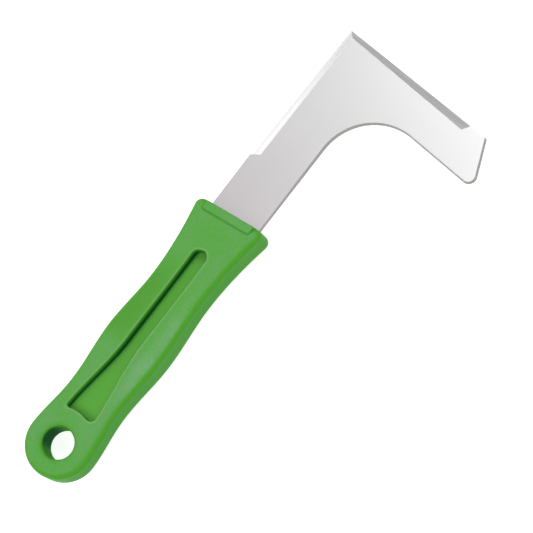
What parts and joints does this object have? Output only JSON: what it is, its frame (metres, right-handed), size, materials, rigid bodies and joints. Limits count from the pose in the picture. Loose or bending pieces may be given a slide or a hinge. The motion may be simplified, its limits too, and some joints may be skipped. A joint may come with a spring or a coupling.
{
  "type": "hand weeding sickle",
  "caption": "Hand weeding sickle: an L-shaped ground steel hook blade moulded into a green plastic grip with a hanging hole, for scraping and hooking weeds out of joints.",
  "frame": {"origin": "centre of the hanging hole, halfway through the grip's thickness", "axes": "+X along the grip towards the blade; +Z square to the blade, out of its ground face and along the hanging hole; the hook arm points along -Y"},
  "size_m": [0.262, 0.1024, 0.0228],
  "materials": {
    "blade_steel": "fine satin stainless sheet with ground bevels",
    "grip_plastic": "moulded green polypropylene, soft satin with a faint frosted bloom"
  },
  "bodies": {
    "root": {"blade": "blade_steel", "handle": "grip_plastic"}
  },
  "joints": []
}
